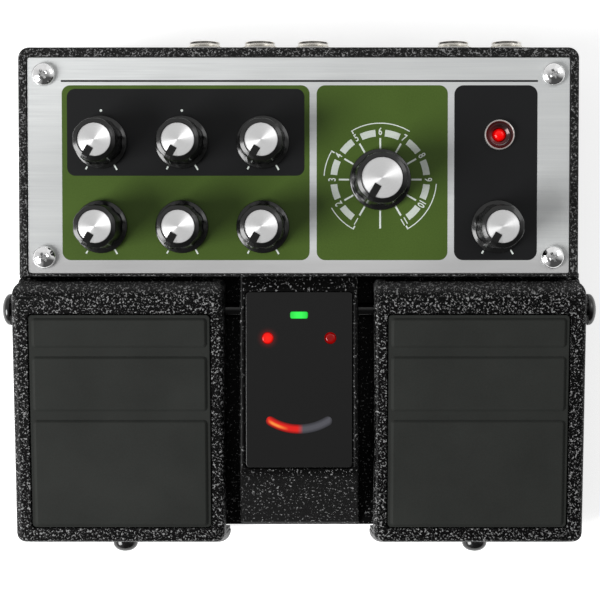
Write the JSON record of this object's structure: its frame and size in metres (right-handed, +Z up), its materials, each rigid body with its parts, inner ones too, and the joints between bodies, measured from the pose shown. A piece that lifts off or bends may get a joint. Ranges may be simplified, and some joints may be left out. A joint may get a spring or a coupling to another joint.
{
  "type": "twin-treadle echo effect pedal",
  "caption": "Floor effect pedal with two sprung foot treadles, a panel of dials, lit indicator window and rear sockets.",
  "frame": {"origin": "on the floor, below the middle of the whole outline", "axes": "+X to the right and +Y to the rear as a player standing in front sees it, +Z up"},
  "size_m": [0.173, 0.1508, 0.057],
  "materials": {
    "housing_paint": "black wrinkle paint with a fine sparkle",
    "cover_paint": "satin black",
    "panel_metal": "brushed along its length, with printed blocks",
    "cap_metal": "spun",
    "bright_metal": "polished",
    "nickel": "satin nickel",
    "dark_metal": "black oxide, slightly glossy",
    "spring_steel": "bright wire",
    "knob_plastic": "satin black",
    "pad_rubber": "matt charcoal",
    "foot_rubber": "matt black",
    "board": "solder mask",
    "dark_plastic": "moulded black",
    "window_plastic": "smoked",
    "green_lens": "lit green",
    "red_lens": "lit red",
    "arc_lens": "half lit diffuser"
  },
  "bodies": {
    "housing": {"chassis": "housing_paint", "bottom_cover": "cover_paint", "control_plate": "panel_metal", "peak_bezel": "bright_metal", "panel_screw_rear_left": "bright_metal", "panel_screw_rear_right": "bright_metal", "panel_screw_front_left": "bright_metal", "panel_screw_front_right": "bright_metal", "jack_expression": "nickel", "jack_output_b": "nickel", "jack_output_a": "nickel", "jack_input_b": "nickel", "jack_input_a": "nickel", "pivot_bolt_left": "dark_metal", "pivot_bolt_right": "dark_metal", "treadle_spring_left": "spring_steel", "treadle_spring_right": "spring_steel", "foot_front_left": "foot_rubber", "foot_front_right": "foot_rubber", "foot_rear_left": "foot_rubber", "foot_rear_right": "foot_rubber", "control_board": "board", "main_board": "board", "lamp_board": "board", "mode_switch": "dark_plastic", "foot_switch_left": "dark_plastic", "foot_switch_right": "dark_plastic", "power_inlet": "dark_plastic", "battery_tray": "dark_plastic", "indicator_window": "window_plastic", "power_lamp": "green_lens", "effect_lamp": "red_lens", "tap_lamp": "red_lens", "peak_lamp": "red_lens", "arc_light": "arc_lens"},
    "bass": {"knob_bass": "knob_plastic", "cap_bass": "cap_metal"},
    "treble": {"knob_treble": "knob_plastic", "cap_treble": "cap_metal"},
    "reverb_volume": {"knob_reverb_volume": "knob_plastic", "cap_reverb_volume": "cap_metal"},
    "repeat_rate": {"knob_repeat_rate": "knob_plastic", "cap_repeat_rate": "cap_metal"},
    "intensity": {"knob_intensity": "knob_plastic", "cap_intensity": "cap_metal"},
    "echo_volume": {"knob_echo_volume": "knob_plastic", "cap_echo_volume": "cap_metal"},
    "mode_selector": {"knob_mode_selector": "knob_plastic", "cap_mode_selector": "cap_metal"},
    "input_volume": {"knob_input_volume": "knob_plastic", "cap_input_volume": "cap_metal"},
    "treadle_left": {"treadle_left": "housing_paint", "treadle_pad_left": "pad_rubber", "stop_screw_left": "dark_metal"},
    "treadle_right": {"treadle_right": "housing_paint", "treadle_pad_right": "pad_rubber", "stop_screw_right": "dark_metal"},
    "power_button": {"power_button": "dark_plastic"},
    "battery_cover": {"battery_cover": "dark_plastic"}
  },
  "joints": [
    {"name": "bass_turn", "type": "hinge", "parent": "housing", "child": "bass", "pos_m": [-0.0558, 0.04447, 0.0404], "axis": [0, -0.0384, 0.9993], "range_deg": [-300, 0]},
    {"name": "treble_turn", "type": "hinge", "parent": "housing", "child": "treble", "pos_m": [-0.03295, 0.04447, 0.0404], "axis": [0, -0.0384, 0.9993], "range_deg": [-300, 0]},
    {"name": "reverb_volume_turn", "type": "hinge", "parent": "housing", "child": "reverb_volume", "pos_m": [-0.0101, 0.04447, 0.0404], "axis": [0, -0.0384, 0.9993], "range_deg": [-300, 0]},
    {"name": "repeat_rate_turn", "type": "hinge", "parent": "housing", "child": "repeat_rate", "pos_m": [-0.0558, 0.02069, 0.03948], "axis": [0, -0.0384, 0.9993], "range_deg": [-300, 0]},
    {"name": "intensity_turn", "type": "hinge", "parent": "housing", "child": "intensity", "pos_m": [-0.03295, 0.02069, 0.03948], "axis": [0, -0.0384, 0.9993], "range_deg": [-300, 0]},
    {"name": "echo_volume_turn", "type": "hinge", "parent": "housing", "child": "echo_volume", "pos_m": [-0.0101, 0.02069, 0.03948], "axis": [0, -0.0384, 0.9993], "range_deg": [-300, 0]},
    {"name": "mode_selector_turn", "type": "hinge", "parent": "housing", "child": "mode_selector", "pos_m": [0.02305, 0.03398, 0.03999], "axis": [0, -0.0384, 0.9993], "range_deg": [-330, 0]},
    {"name": "input_volume_turn", "type": "hinge", "parent": "housing", "child": "input_volume", "pos_m": [0.0562, 0.02069, 0.03948], "axis": [0, -0.0384, 0.9993], "range_deg": [-300, 0]},
    {"name": "treadle_left_press", "type": "hinge", "parent": "housing", "child": "treadle_left", "pos_m": [-0.052, -0.0028, 0.0243], "axis": [1, 0, 0], "range_deg": [0, 2.5], "stiffness_Nm_per_rad": 1.5, "springref_deg": -5.73, "deforming": ["treadle_spring_left"]},
    {"name": "treadle_right_press", "type": "hinge", "parent": "housing", "child": "treadle_right", "pos_m": [0.052, -0.0028, 0.0243], "axis": [1, 0, 0], "range_deg": [0, 2.5], "stiffness_Nm_per_rad": 1.5, "springref_deg": -5.73, "deforming": ["treadle_spring_right"]},
    {"name": "power_button_push", "type": "slide", "parent": "housing", "child": "power_button", "axis": [0, -1, 0], "range_m": [0, 0.0012], "stiffness_N_per_m": 600, "springref_m": -0.001},
    {"name": "battery_cover_open", "type": "hinge", "parent": "housing", "child": "battery_cover", "pos_m": [0, 0.01207, 0.0036], "axis": [1, 0, 0], "range_deg": [0, 90]}
  ]
}
